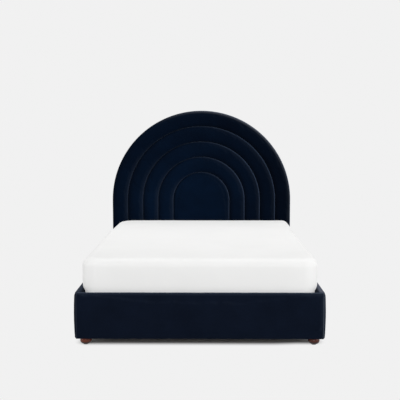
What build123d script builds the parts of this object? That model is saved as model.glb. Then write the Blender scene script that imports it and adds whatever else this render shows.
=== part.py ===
"""Upholstered double bed with a round-arched, channelled headboard.

Frame: millimetres, +X to the right seen from the foot, +Y from foot to head, +Z up.
The origin lies on the floor, at the middle of the bed's width and length.
The bed comes apart as: headboard, footboard, two side rails, head rail, centre beam
on two legs, slats, four bun feet, mattress and fitted sheet.
"""

from build123d import *

import os
from math import cos, radians, sin

os.makedirs("parts", exist_ok=True)

# Mattress that the bed is made for
mattress_width = 1500.0
mattress_length = 2000.0
mattress_height = 250.0
side_gap = 5.0
end_gap = 8.0

# Overall form
bed_height = 1530.0
ground_clearance = 54.0
rail_height = 290.0
rail_thickness = 45.0
deck_drop = 44.0

# Upholstery of the footboard and side rails
cover_thickness = 2.0
inner_padding = 5.0
top_padding = 18.0
panel_thickness = 22.0
face_crown = 3.0
top_edge_radius = 16.0
inner_edge_radius = 10.0
bottom_edge_radius = 12.0
corner_radius = 15.0

# Headboard
channel_count = 4
channel_width = 137.0
channel_height = 46.0
channel_valley = 14.0
channel_shoulder = 24.0
channel_start = 6.0
border_thickness = 8.0
lower_pad_thickness = 10.0
front_board_thickness = 9.0
frame_depth = 32.0
frame_member_width = 90.0
crossbar_height = 80.0
back_cover_thickness = 2.0

# Head rail, slats and their bearers
head_rail_thickness = 22.0
head_rail_drop = 9.0
head_rail_lift = 36.0
slat_count = 13
slat_width = 90.0
slat_thickness = 18.0
slat_end_gap = 5.0
slat_edge_radius = 3.0
first_slat_inset = 30.0
ledger_width = 25.0
ledger_height = 40.0
ledger_end_inset = 68.0
beam_width = 45.0
beam_height = 70.0
hanger_plate = 3.0
hanger_width = 100.0
hanger_seat_length = 50.0
hanger_cheek_height = 50.0
hanger_back_rise = 62.0

# Corner joints
block_size = 60.0
block_height = 100.0
bracket_plate = 3.0
bracket_leg = 60.0
bracket_rise = 11.0
bracket_drop = 7.0
bolt_radius = 4.0
bolt_length = 22.0
bolt_head_radius = 7.0
bolt_head_height = 5.0
bracket_bolt_margin = 20.0
headboard_bolt_length = 62.0
headboard_bolt_inset = 155.0
screw_radius = 2.25
screw_length = 45.0
screw_head_radius = 4.5
ledger_screw_count = 8
ledger_screw_inset = 60.0
short_screw_length = 18.0

# Centre legs
leg_spread = 680.0
leg_radius = 16.0
leg_wall = 1.5
leg_flange_length = 90.0
leg_flange_thickness = 3.0
leg_flange_screw_x = 14.0
leg_flange_screw_y = 34.0
insert_depth = 30.0
insert_lip = 2.0
glide_radius = 22.0
glide_height = 8.0
glide_edge = 2.0
glide_stem_radius = 4.0
glide_stem_length = 50.0
glide_up_travel = 3.0
glide_stop_gap = 1.0

# Bun feet
foot_radius = 37.0
foot_neck_radius = 27.0
foot_sole_radius = 17.0
foot_collar = 4.0
foot_belly_share = 0.5
foot_side_inset = 65.0
foot_end_inset = 65.0
floor_pad_radius = 15.0
floor_pad_height = 4.0
hanger_bolt_radius = 4.0
hanger_bolt_in_foot = 28.0
hanger_bolt_in_block = 26.0
tee_nut_flange_radius = 11.0
tee_nut_flange = 1.5
tee_nut_barrel_radius = 6.0
tee_nut_length = 12.0

# Mattress and sheet forms
mattress_corner_radius = 85.0
mattress_bottom_radius = 20.0
mattress_top_radius = 62.0
mattress_swell = 14.0
mattress_swell_lift = 10.0
mattress_swell_rise = 36.0
mattress_crown = 9.0
sheet_thickness = 2.0
sheet_hem = 150.0

# Clearances
fit_clearance = 0.1
running_clearance = 0.05
soft_clearance = 0.3
cut_overrun = 1.0

# Sizes that follow
inner_half = mattress_width / 2 + side_gap
outer_half = inner_half + rail_thickness
rail_top = ground_clearance + rail_height
deck_z = rail_top - deck_drop
outer_padding = rail_thickness - inner_padding - panel_thickness
headboard_depth = back_cover_thickness + frame_depth + front_board_thickness + channel_height
bed_length = rail_thickness + 2 * end_gap + mattress_length + headboard_depth

foot_y = -bed_length / 2
foot_inner_y = foot_y + rail_thickness
back_y = bed_length / 2
frame_back_y = back_y - back_cover_thickness
board_back_y = frame_back_y - frame_depth
board_front_y = board_back_y - front_board_thickness
lower_pad_y = board_front_y - lower_pad_thickness
head_rail_y = lower_pad_y - head_rail_thickness
mattress_foot_y = foot_inner_y + end_gap
mattress_head_y = mattress_foot_y + mattress_length

arch_radius = outer_half
frame_radius = arch_radius - border_thickness
arch_z = bed_height - arch_radius
channel_bottom = rail_top + channel_start
springing = Plane.XY.offset(arch_z)
arch_axis = Axis((0, 0, arch_z), (0, -1, 0))

slat_bottom = deck_z - slat_thickness
slat_half = inner_half - slat_end_gap
beam_bottom = slat_bottom - beam_height
leg_top = beam_bottom - leg_flange_thickness
leg_bottom = glide_height + glide_up_travel + glide_stop_gap + insert_lip


def save(piece, name):
    """Labels a finished piece and writes it as its own file."""
    piece.label = name
    export_step(piece, f"parts/{name}.step")


def padded_profile(width, inset, start, inner_radius):
    """Section of a padded panel, from its inner face at start to its crowned outer face.

    The bottom lies on y = 0, where the cover is stapled, and isn't inset.
    """
    outer = width - inset
    top = rail_height - inset
    with BuildSketch(mode=Mode.PRIVATE) as profile:
        with BuildLine():
            Polyline((outer - face_crown, 0), (start, 0), (start, top), (outer - face_crown, top))
            ThreePointArc((outer - face_crown, top), (outer, rail_height / 2), (outer - face_crown, 0))
        make_face()
        outer_corners = profile.vertices().group_by(Axis.X)[-1].sort_by(Axis.Y)
        fillet(outer_corners[0], bottom_edge_radius - inset)
        outer_corners = profile.vertices().group_by(Axis.Y)[-1].sort_by(Axis.X)
        fillet(outer_corners[-1], top_edge_radius - inset)
        if inner_radius:
            inner_corner = profile.vertices().group_by(Axis.Y)[-1].sort_by(Axis.X)
            fillet(inner_corner[0], inner_radius - inset)
    return profile.sketch


def rail_section(inset):
    """Section of a side rail or footboard, shrunk by inset on the padded sides."""
    return padded_profile(rail_thickness, inset, inset, inner_edge_radius)


def footboard_block(inset):
    """Whole padded footboard, crowned on its face and ends, shrunk by inset."""
    section_plane = Plane((outer_half, foot_inner_y, ground_clearance), (0, -1, 0), (-1, 0, 0))
    front_plane = Plane((0, back_y, ground_clearance), (1, 0, 0), (0, -1, 0))
    with BuildPart(mode=Mode.PRIVATE) as block:
        with BuildSketch(section_plane):
            add(rail_section(inset))
        extrude(amount=2 * outer_half)
        with BuildSketch(front_plane):
            outline = padded_profile(outer_half, inset, 0, 0)
            add(outline)
            mirror(outline, about=Plane.YZ)
        extrude(amount=bed_length + rail_thickness, mode=Mode.INTERSECT)
        with BuildSketch(Plane.XY.offset(ground_clearance)) as plan:
            with Locations((0, foot_inner_y - inset)):
                Rectangle(
                    2 * (outer_half - inset + cut_overrun),
                    rail_thickness - 2 * inset + cut_overrun,
                    align=(Align.CENTER, Align.MAX),
                )
            fillet(plan.vertices().group_by(Axis.Y)[0], corner_radius - inset)
        extrude(amount=rail_height, mode=Mode.INTERSECT)
    return block.part


def arched(section, leg):
    """Turns a section at the springing line over the arch and runs it down both sides."""
    with BuildPart(mode=Mode.PRIVATE) as arch:
        with BuildSketch(springing):
            add(section)
        revolve(axis=arch_axis, revolution_arc=180)
        with BuildSketch(springing):
            add(section)
        run = extrude(amount=-leg)
        mirror(run, about=Plane.YZ)
    return arch.part


def channel_section(inner, outer, inset):
    """Section of one padded channel: upright sides to the valley, round shoulders, crowned top."""
    low, high = inner + inset, outer - inset
    shoulder = channel_shoulder - inset
    valley = board_front_y - channel_valley
    brow = valley - shoulder
    crest = board_front_y - channel_height + inset
    with BuildSketch(mode=Mode.PRIVATE) as section:
        with BuildLine():
            Polyline((low, valley), (low, board_front_y), (high, board_front_y), (high, valley))
            TangentArc((low, valley), (low + shoulder, brow), tangent=(0, -1))
            ThreePointArc((low + shoulder, brow), ((low + high) / 2, crest), (high - shoulder, brow))
            TangentArc((high, valley), (high - shoulder, brow), tangent=(0, -1))
        make_face()
    return section.sketch


def centre_section(outer, inset):
    """Half section of the middle pad, from the axis out to its round shoulder."""
    high = outer - inset
    shoulder = channel_shoulder - inset
    valley = board_front_y - channel_valley
    brow = valley - shoulder
    crest = board_front_y - channel_height + inset
    with BuildSketch(mode=Mode.PRIVATE) as section:
        with BuildLine():
            Polyline((0, crest), (0, board_front_y), (high, board_front_y), (high, valley))
            TangentArc((0, crest), (high - shoulder, brow), tangent=(1, 0))
            TangentArc((high, valley), (high - shoulder, brow), tangent=(0, -1))
        make_face()
    return section.sketch


def bar(inner, outer, low_y, high_y):
    """Plain rectangle in the springing plane, for the straight-sided arched pieces."""
    with BuildSketch(mode=Mode.PRIVATE) as section:
        with Locations(((inner + outer) / 2, (low_y + high_y) / 2)):
            Rectangle(outer - inner, high_y - low_y)
    return section.sketch


# Where the holes and fasteners lie: each plane's Z points back out of the hole
def facing(origin, outward):
    """Plane at a hole's mouth, whose Z leaves the hole."""
    return Plane(origin=origin, z_dir=outward)


bracket_bottom = ground_clearance + block_height + bracket_rise
bracket_top = slat_bottom - bracket_drop
bracket_bolt_heights = [bracket_bottom + bracket_bolt_margin, bracket_top - bracket_bolt_margin]
bracket_bolt_inset = bracket_leg * 0.6
side_bolt_ys = [foot_inner_y + bracket_bolt_inset, head_rail_y - bracket_bolt_inset]
end_bolt_x = inner_half - bracket_bolt_inset


def side_bolt_planes(side, stand_off):
    """Bracket bolts into one side rail, at stand_off in front of its inner face."""
    return [
        facing((side * (inner_half - stand_off), y, z), (-side, 0, 0))
        for y in side_bolt_ys
        for z in bracket_bolt_heights
    ]


def end_bolt_planes(y, outward):
    """Bracket bolts into the footboard or the head rail."""
    return [
        facing((side * end_bolt_x, y, z), (0, outward, 0))
        for side in (-1, 1)
        for z in bracket_bolt_heights
    ]


ledger_start = foot_inner_y + ledger_end_inset
ledger_end = head_rail_y - ledger_end_inset
ledger_length = ledger_end - ledger_start
ledger_screw_pitch = (ledger_length - 2 * ledger_screw_inset) / (ledger_screw_count - 1)
ledger_screw_z = slat_bottom - ledger_height * 0.7


def ledger_screw_planes(side):
    """Screws that hold a slat ledger to its side rail."""
    mouth = side * (inner_half - ledger_width)
    return [
        facing(
            (mouth, ledger_start + ledger_screw_inset + n * ledger_screw_pitch, ledger_screw_z),
            (-side, 0, 0),
        )
        for n in range(ledger_screw_count)
    ]


first_slat_y = foot_inner_y + first_slat_inset + slat_width / 2
last_slat_y = head_rail_y - first_slat_inset - slat_width / 2
slat_pitch = (last_slat_y - first_slat_y) / (slat_count - 1)
slat_ys = [first_slat_y + n * slat_pitch for n in range(slat_count)]
slat_screw_x = inner_half - ledger_width / 2


def slat_screw_y(y):
    """Screw line of a slat: its middle, or nearer the ledger's end where the ledger stops short."""
    margin = screw_head_radius * 2
    return min(max(y, ledger_start + margin), ledger_end - margin)


slat_screw_planes = [
    facing((x, slat_screw_y(y), deck_z), (0, 0, 1))
    for y in slat_ys
    for x in (-slat_screw_x, 0, slat_screw_x)
]

hanger_screw_x = hanger_width * 0.4
hanger_screw_heights = [beam_bottom + hanger_back_rise * 0.2, beam_bottom + hanger_back_rise * 0.8]


def hanger_screw_planes(y, outward):
    """Screws through a beam hanger's back plate, with their mouths at y."""
    return [
        facing((x, y, z), (0, outward, 0))
        for x in (-hanger_screw_x, hanger_screw_x)
        for z in hanger_screw_heights
    ]


leg_ys = [-leg_spread / 2, leg_spread / 2]
leg_screw_planes = [
    facing((x, leg_y + y, leg_top), (0, 0, -1))
    for leg_y in leg_ys
    for x in (-leg_flange_screw_x, leg_flange_screw_x)
    for y in (-leg_flange_screw_y, leg_flange_screw_y)
]

headboard_bolt_heights = [
    ground_clearance + crossbar_height * 0.75,
    rail_top - head_rail_drop - crossbar_height * 0.3,
]
headboard_bolt_planes = [
    facing((side * (inner_half - headboard_bolt_inset), head_rail_y, z), (0, -1, 0))
    for side in (-1, 1)
    for z in headboard_bolt_heights
]

foot_x = outer_half - foot_side_inset
foot_ys = [foot_y + foot_end_inset, head_rail_y - (foot_end_inset - rail_thickness)]
foot_places = {
    "front_left": (-foot_x, foot_ys[0]),
    "front_right": (foot_x, foot_ys[0]),
    "rear_left": (-foot_x, foot_ys[1]),
    "rear_right": (foot_x, foot_ys[1]),
}

# Footboard: plywood panel, foam over its face, ends and top, and the velvet cover
panel_half = outer_half - outer_padding
panel_height = rail_height - top_padding

with BuildPart() as footboard_panel:
    with Locations((0, foot_inner_y - inner_padding - panel_thickness / 2, ground_clearance)):
        Box(2 * panel_half, panel_thickness, panel_height, align=(Align.CENTER, Align.CENTER, Align.MIN))
    with Locations(*end_bolt_planes(foot_inner_y + bracket_plate, 1)):
        Hole(bolt_radius + fit_clearance, bolt_length + fit_clearance)
    with Locations(*hanger_screw_planes(foot_inner_y + hanger_plate, 1)):
        Hole(screw_radius + fit_clearance, short_screw_length + fit_clearance)

footboard_core = footboard_block(cover_thickness)

with BuildPart() as footboard_foam:
    add(footboard_core)
    add(footboard_panel.part, mode=Mode.SUBTRACT)
    with Locations(*end_bolt_planes(foot_inner_y + bracket_plate, 1)):
        Hole(bolt_radius + fit_clearance, bolt_length + fit_clearance)
    with Locations(*hanger_screw_planes(foot_inner_y + hanger_plate, 1)):
        Hole(screw_radius + fit_clearance, short_screw_length + fit_clearance)

footboard_skin = footboard_block(0)

with BuildPart() as footboard_cover:
    add(footboard_skin)
    add(footboard_core, mode=Mode.SUBTRACT)
    with Locations(*end_bolt_planes(foot_inner_y + bracket_plate, 1)):
        Hole(bolt_radius + fit_clearance, bolt_length + fit_clearance)
    with Locations(*hanger_screw_planes(foot_inner_y + hanger_plate, 1)):
        Hole(screw_radius + fit_clearance, short_screw_length + fit_clearance)

save(footboard_panel.part, "footboard_panel")
save(footboard_foam.part, "footboard_foam")
save(footboard_cover.part, "footboard_cover")

# Side rails: the same build, open at both ends where they butt
rail_plane = Plane((inner_half, lower_pad_y, ground_clearance), (1, 0, 0), (0, -1, 0))
rail_length = lower_pad_y - foot_inner_y

with BuildPart() as side_rail_panel:
    with BuildSketch(rail_plane):
        with Locations((inner_padding, 0)):
            Rectangle(panel_thickness, panel_height, align=(Align.MIN, Align.MIN))
    extrude(amount=rail_length)
    with Locations(*side_bolt_planes(1, bracket_plate)):
        Hole(bolt_radius + fit_clearance, bolt_length + fit_clearance)
    with Locations(*ledger_screw_planes(1)):
        Hole(screw_radius + fit_clearance, screw_length + fit_clearance)

with BuildPart() as side_rail_foam:
    with BuildSketch(rail_plane):
        add(rail_section(cover_thickness))
        with Locations((inner_padding, 0)):
            Rectangle(panel_thickness, panel_height, align=(Align.MIN, Align.MIN), mode=Mode.SUBTRACT)
    extrude(amount=rail_length)
    with Locations(*side_bolt_planes(1, bracket_plate)):
        Hole(bolt_radius + fit_clearance, bolt_length + fit_clearance)
    with Locations(*ledger_screw_planes(1)):
        Hole(screw_radius + fit_clearance, screw_length + fit_clearance)

with BuildPart() as side_rail_cover:
    with BuildSketch(rail_plane):
        add(rail_section(0))
        add(rail_section(cover_thickness), mode=Mode.SUBTRACT)
    extrude(amount=rail_length)
    with Locations(*side_bolt_planes(1, bracket_plate)):
        Hole(bolt_radius + fit_clearance, bolt_length + fit_clearance)
    with Locations(*ledger_screw_planes(1)):
        Hole(screw_radius + fit_clearance, screw_length + fit_clearance)

for layer, piece in (("panel", side_rail_panel), ("foam", side_rail_foam), ("cover", side_rail_cover)):
    save(piece.part, f"side_rail_right_{layer}")
    save(piece.part.mirror(Plane.YZ), f"side_rail_left_{layer}")

# Head rail: plain timber across the head end, bolted to the headboard
with BuildPart() as head_rail:
    with Locations((0, head_rail_y, ground_clearance + head_rail_lift)):
        Box(
            2 * inner_half,
            head_rail_thickness,
            rail_height - head_rail_lift - head_rail_drop,
            align=(Align.CENTER, Align.MIN, Align.MIN),
        )
    with Locations(*end_bolt_planes(head_rail_y - bracket_plate, -1)):
        Hole(bolt_radius + fit_clearance, bolt_length + fit_clearance)
    with Locations(*hanger_screw_planes(head_rail_y - hanger_plate, -1)):
        Hole(screw_radius + fit_clearance, short_screw_length + fit_clearance)
    with Locations(*headboard_bolt_planes):
        Hole(bolt_radius + fit_clearance, headboard_bolt_length + fit_clearance)

save(head_rail.part, "head_rail")

# Headboard frame: plywood arch rim, uprights, crossbars and stile behind a thin front board
frame_inner = frame_radius - frame_member_width
upright_height = arch_z - ground_clearance
crossbar_heights = [
    ground_clearance,
    channel_bottom - crossbar_height * 0.8,
    arch_z - crossbar_height,
]
frame_mid_y = (board_back_y + frame_back_y) / 2

with BuildPart() as headboard_front_board:
    add(arched(bar(0, frame_radius, board_front_y, board_back_y), upright_height))
    with Locations(*headboard_bolt_planes):
        Hole(bolt_radius + fit_clearance, headboard_bolt_length + fit_clearance)

with BuildPart() as headboard_arch_rim:
    with BuildSketch(springing):
        add(bar(frame_inner, frame_radius, board_back_y, frame_back_y))
    revolve(axis=arch_axis, revolution_arc=180)

with BuildPart() as headboard_uprights:
    with Locations(
        (-(frame_inner + frame_member_width / 2), frame_mid_y, ground_clearance),
        (frame_inner + frame_member_width / 2, frame_mid_y, ground_clearance),
    ):
        Box(
            frame_member_width,
            frame_depth,
            upright_height,
            align=(Align.CENTER, Align.CENTER, Align.MIN),
        )

with BuildPart() as headboard_crossbars:
    with Locations(*[(0, frame_mid_y, z) for z in crossbar_heights]):
        Box(
            2 * frame_inner,
            frame_depth,
            crossbar_height,
            align=(Align.CENTER, Align.CENTER, Align.MIN),
        )
    with Locations(*headboard_bolt_planes):
        Hole(bolt_radius + fit_clearance, headboard_bolt_length + fit_clearance)

with BuildPart() as headboard_stile:
    with BuildSketch(Plane((0, frame_back_y, arch_z), (1, 0, 0), (0, -1, 0))):
        Rectangle(frame_member_width, frame_inner, align=(Align.CENTER, Align.MIN))
        Circle(frame_inner, mode=Mode.INTERSECT)
    extrude(amount=frame_depth)

with BuildPart() as headboard_back_cover:
    add(arched(bar(0, frame_radius, frame_back_y, back_y), upright_height))

save(headboard_front_board.part, "headboard_front_board")
save(headboard_arch_rim.part, "headboard_arch_rim")
save(headboard_uprights.part, "headboard_uprights")
save(headboard_crossbars.part, "headboard_crossbars")
save(headboard_stile.part, "headboard_stile")
save(headboard_back_cover.part, "headboard_back_cover")

# Headboard upholstery: arched foam channels round a middle pad, one scalloped cover over them
channel_leg = arch_z - channel_bottom
centre_half = arch_radius - channel_count * channel_width
channel_names = ["inner", "third", "second", "outer"]
channel_radii = [
    (centre_half + n * channel_width, centre_half + (n + 1) * channel_width) for n in range(channel_count)
]

channel_foams = {
    name: arched(channel_section(low, high, cover_thickness), channel_leg - cover_thickness)
    for name, (low, high) in zip(channel_names, channel_radii)
}
channel_foams["centre"] = arched(
    centre_section(centre_half, cover_thickness), channel_leg - cover_thickness
)
for name, foam in channel_foams.items():
    save(foam, f"headboard_foam_{name}")

with BuildSketch() as cover_section:
    add(centre_section(centre_half, 0))
    for low, high in channel_radii:
        add(channel_section(low, high, 0))

cover_block = arched(cover_section.sketch, channel_leg)

with BuildPart() as headboard_cover:
    add(cover_block)
    for foam in channel_foams.values():
        add(foam, mode=Mode.SUBTRACT)

with BuildPart() as headboard_border:
    add(arched(bar(frame_radius, arch_radius, board_front_y, back_y), upright_height))

with BuildPart() as headboard_lower_pad:
    with Locations((0, lower_pad_y, ground_clearance)):
        Box(
            2 * arch_radius,
            lower_pad_thickness,
            channel_bottom - ground_clearance,
            align=(Align.CENTER, Align.MIN, Align.MIN),
        )
    with Locations(*headboard_bolt_planes):
        Hole(bolt_radius + fit_clearance, headboard_bolt_length + fit_clearance)

save(headboard_cover.part, "headboard_cover")
save(headboard_border.part, "headboard_border")
save(headboard_lower_pad.part, "headboard_lower_pad")

# Corner blocks, with a tee nut in each for its foot
with BuildPart() as corner_blocks:
    for side in (-1, 1):
        for y in (foot_inner_y + block_size / 2, head_rail_y - block_size / 2):
            with Locations((side * (inner_half - block_size / 2), y, ground_clearance)):
                Box(block_size, block_size, block_height, align=(Align.CENTER, Align.CENTER, Align.MIN))
    for x, y in foot_places.values():
        with Locations(facing((x, y, ground_clearance), (0, 0, -1))):
            Hole(tee_nut_flange_radius + fit_clearance, tee_nut_flange)
            Hole(tee_nut_barrel_radius + fit_clearance, tee_nut_length)
            Hole(hanger_bolt_radius + fit_clearance, hanger_bolt_in_block + fit_clearance)

with BuildPart() as foot_tee_nuts:
    for x, y in foot_places.values():
        with Locations((x, y, ground_clearance)):
            Cylinder(
                tee_nut_flange_radius, tee_nut_flange, align=(Align.CENTER, Align.CENTER, Align.MIN)
            )
            Cylinder(
                tee_nut_barrel_radius, tee_nut_length, align=(Align.CENTER, Align.CENTER, Align.MIN)
            )
            Cylinder(
                hanger_bolt_radius + fit_clearance,
                tee_nut_length,
                align=(Align.CENTER, Align.CENTER, Align.MIN),
                mode=Mode.SUBTRACT,
            )

with BuildPart() as foot_hanger_bolts:
    for x, y in foot_places.values():
        with Locations((x, y, ground_clearance - hanger_bolt_in_foot)):
            Cylinder(
                hanger_bolt_radius,
                hanger_bolt_in_foot + hanger_bolt_in_block,
                align=(Align.CENTER, Align.CENTER, Align.MIN),
            )

save(corner_blocks.part, "corner_blocks")
save(foot_tee_nuts.part, "foot_tee_nuts")
save(foot_hanger_bolts.part, "foot_hanger_bolts")

# Bun feet: turned wood on a round floor pad
bun_height = ground_clearance - floor_pad_height - foot_collar
belly_z = floor_pad_height + bun_height * foot_belly_share
bun_top = floor_pad_height + bun_height

for place, (x, y) in foot_places.items():
    with BuildPart() as bun_foot:
        with BuildSketch(Plane((x, y, 0), (1, 0, 0), (0, -1, 0))):
            with BuildLine():
                Polyline(
                    (foot_neck_radius, bun_top),
                    (foot_neck_radius, ground_clearance),
                    (0, ground_clearance),
                    (0, floor_pad_height),
                    (foot_sole_radius, floor_pad_height),
                )
                TangentArc((foot_radius, belly_z), (foot_sole_radius, floor_pad_height), tangent=(0, -1))
                TangentArc((foot_radius, belly_z), (foot_neck_radius, bun_top), tangent=(0, 1))
            make_face()
        revolve(axis=Axis((x, y, 0), (0, 0, 1)))
        with Locations(facing((x, y, ground_clearance), (0, 0, 1))):
            Hole(hanger_bolt_radius + fit_clearance, hanger_bolt_in_foot + fit_clearance)
    save(bun_foot.part, f"bun_foot_{place}")

with BuildPart() as foot_floor_pads:
    for x, y in foot_places.values():
        with Locations((x, y, 0)):
            Cylinder(
                floor_pad_radius, floor_pad_height, align=(Align.CENTER, Align.CENTER, Align.MIN)
            )

save(foot_floor_pads.part, "foot_floor_pads")

# Corner brackets: bent steel angles in the four inner corners
with BuildPart() as corner_brackets:
    for side in (-1, 1):
        for y, inward in ((foot_inner_y, 1), (head_rail_y, -1)):
            with BuildSketch(Plane.XY.offset(bracket_bottom)):
                with BuildLine():
                    Polyline(
                        (side * inner_half, y),
                        (side * inner_half, y + inward * bracket_leg),
                        (side * (inner_half - bracket_plate), y + inward * bracket_leg),
                        (side * (inner_half - bracket_plate), y + inward * bracket_plate),
                        (side * (inner_half - bracket_leg), y + inward * bracket_plate),
                        (side * (inner_half - bracket_leg), y),
                        close=True,
                    )
                make_face()
            extrude(amount=bracket_top - bracket_bottom)
    for side in (-1, 1):
        with Locations(*side_bolt_planes(side, bracket_plate)):
            Hole(bolt_radius + fit_clearance, bolt_length)
    with Locations(*end_bolt_planes(foot_inner_y + bracket_plate, 1)):
        Hole(bolt_radius + fit_clearance, bolt_length)
    with Locations(*end_bolt_planes(head_rail_y - bracket_plate, -1)):
        Hole(bolt_radius + fit_clearance, bolt_length)

bracket_bolt_planes = [
    *side_bolt_planes(-1, bracket_plate),
    *side_bolt_planes(1, bracket_plate),
    *end_bolt_planes(foot_inner_y + bracket_plate, 1),
    *end_bolt_planes(head_rail_y - bracket_plate, -1),
]

with BuildPart() as bracket_bolts:
    with Locations(*bracket_bolt_planes):
        Cylinder(bolt_radius, bolt_length, align=(Align.CENTER, Align.CENTER, Align.MAX))
        Cylinder(bolt_head_radius, bolt_head_height, align=(Align.CENTER, Align.CENTER, Align.MIN))

with BuildPart() as headboard_bolts:
    with Locations(*headboard_bolt_planes):
        Cylinder(bolt_radius, headboard_bolt_length, align=(Align.CENTER, Align.CENTER, Align.MAX))
        Cylinder(bolt_head_radius, bolt_head_height, align=(Align.CENTER, Align.CENTER, Align.MIN))

save(corner_brackets.part, "corner_brackets")
save(bracket_bolts.part, "bracket_bolts")
save(headboard_bolts.part, "headboard_bolts")

# Slat ledgers along the side rails
for side, hand in ((-1, "left"), (1, "right")):
    with BuildPart() as ledger:
        with Locations((side * (inner_half - ledger_width / 2), ledger_start, slat_bottom)):
            Box(ledger_width, ledger_length, ledger_height, align=(Align.CENTER, Align.MIN, Align.MAX))
        with Locations(*ledger_screw_planes(side)):
            CounterSinkHole(
                screw_radius + fit_clearance,
                screw_head_radius + fit_clearance,
                screw_length,
                counter_sink_angle=90,
            )
        with Locations(*slat_screw_planes):
            Hole(screw_radius + fit_clearance, screw_length + fit_clearance)
    save(ledger.part, f"slat_ledger_{hand}")

# Centre beam in its two hangers
beam_start = foot_inner_y + hanger_plate
beam_end = head_rail_y - hanger_plate

with BuildPart() as centre_beam:
    with Locations((0, beam_start, beam_bottom)):
        Box(beam_width, beam_end - beam_start, beam_height, align=(Align.CENTER, Align.MIN, Align.MIN))
    with Locations(*slat_screw_planes):
        Hole(screw_radius + fit_clearance, screw_length + fit_clearance)
    with Locations(*leg_screw_planes):
        Hole(screw_radius + fit_clearance, short_screw_length + fit_clearance)

hanger_inner = beam_width / 2 + fit_clearance
hanger_outer = hanger_inner + hanger_plate

with BuildPart() as beam_hangers:
    for y, inward in ((foot_inner_y, 1), (head_rail_y, -1)):
        with Locations((0, y + inward * hanger_plate / 2, beam_bottom - hanger_plate)):
            Box(
                hanger_width,
                hanger_plate,
                hanger_back_rise + hanger_plate,
                align=(Align.CENTER, Align.CENTER, Align.MIN),
            )
        with Locations((0, y + inward * (hanger_plate + hanger_seat_length) / 2, beam_bottom)):
            Box(
                2 * hanger_outer,
                hanger_plate + hanger_seat_length,
                hanger_plate,
                align=(Align.CENTER, Align.CENTER, Align.MAX),
            )
        for side in (-1, 1):
            with Locations(
                (
                    side * (hanger_inner + hanger_plate / 2),
                    y + inward * (hanger_plate + hanger_seat_length) / 2,
                    beam_bottom - hanger_plate,
                )
            ):
                Box(
                    hanger_plate,
                    hanger_plate + hanger_seat_length,
                    hanger_cheek_height,
                    align=(Align.CENTER, Align.CENTER, Align.MIN),
                )
    with Locations(*hanger_screw_planes(foot_inner_y + hanger_plate, 1)):
        Hole(screw_radius + fit_clearance, short_screw_length)
    with Locations(*hanger_screw_planes(head_rail_y - hanger_plate, -1)):
        Hole(screw_radius + fit_clearance, short_screw_length)

save(centre_beam.part, "centre_beam")
save(beam_hangers.part, "beam_hangers")

# Centre legs: steel tube with a flange, plastic insert, screw-out glide
with BuildPart() as centre_legs:
    for y in leg_ys:
        with Locations((0, y, beam_bottom)):
            Box(
                beam_width,
                leg_flange_length,
                leg_flange_thickness,
                align=(Align.CENTER, Align.CENTER, Align.MAX),
            )
        with Locations((0, y, leg_bottom)):
            Cylinder(leg_radius, leg_top - leg_bottom, align=(Align.CENTER, Align.CENTER, Align.MIN))
            Cylinder(
                leg_radius - leg_wall,
                leg_top - leg_bottom,
                align=(Align.CENTER, Align.CENTER, Align.MIN),
                mode=Mode.SUBTRACT,
            )
    with Locations(*leg_screw_planes):
        Hole(screw_radius + fit_clearance, leg_flange_thickness + cut_overrun)

with BuildPart() as centre_leg_inserts:
    for y in leg_ys:
        with Locations((0, y, leg_bottom)):
            Cylinder(leg_radius, insert_lip, align=(Align.CENTER, Align.CENTER, Align.MAX))
            Cylinder(
                leg_radius - leg_wall - fit_clearance,
                insert_depth,
                align=(Align.CENTER, Align.CENTER, Align.MIN),
            )
        with Locations((0, y, leg_bottom - insert_lip)):
            Cylinder(
                glide_stem_radius + running_clearance,
                insert_lip + insert_depth,
                align=(Align.CENTER, Align.CENTER, Align.MIN),
                mode=Mode.SUBTRACT,
            )

for end, y in zip(("foot_end", "head_end"), leg_ys):
    with BuildPart() as levelling_glide:
        with Locations((0, y, 0)):
            Cylinder(glide_radius, glide_height, align=(Align.CENTER, Align.CENTER, Align.MIN))
        top_rim = levelling_glide.edges().sort_by(Axis.Z)[-1]
        chamfer(top_rim, glide_edge)
        with Locations((0, y, glide_height)):
            Cylinder(
                glide_stem_radius, glide_stem_length, align=(Align.CENTER, Align.CENTER, Align.MIN)
            )
    save(levelling_glide.part, f"levelling_glide_{end}")

save(centre_legs.part, "centre_legs")
save(centre_leg_inserts.part, "centre_leg_inserts")

# Slats across the ledgers and the beam
for n, y in enumerate(slat_ys, start=1):
    with BuildPart() as slat:
        with Locations((0, y, slat_bottom)):
            Box(2 * slat_half, slat_width, slat_thickness, align=(Align.CENTER, Align.CENTER, Align.MIN))
        fillet(slat.edges().filter_by(Axis.X), slat_edge_radius)
        with Locations(*[plane for plane in slat_screw_planes if abs(plane.origin.Y - y) < slat_width / 2]):
            CounterSinkHole(
                screw_radius + fit_clearance,
                screw_head_radius + fit_clearance,
                slat_thickness + cut_overrun,
                counter_sink_angle=90,
            )
    save(slat.part, f"slat_{n:02d}")

# Countersunk screws, long ones for slats and ledgers, short ones for the beam's fittings
screw_head_height = screw_head_radius - screw_radius

with BuildPart() as wood_screws:
    with Locations(*slat_screw_planes, *ledger_screw_planes(-1), *ledger_screw_planes(1)):
        Cylinder(screw_radius, screw_length, align=(Align.CENTER, Align.CENTER, Align.MAX))
        Cone(
            screw_radius,
            screw_head_radius,
            screw_head_height,
            align=(Align.CENTER, Align.CENTER, Align.MAX),
        )

beam_screw_planes = [
    *leg_screw_planes,
    *hanger_screw_planes(foot_inner_y + hanger_plate, 1),
    *hanger_screw_planes(head_rail_y - hanger_plate, -1),
]

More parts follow.
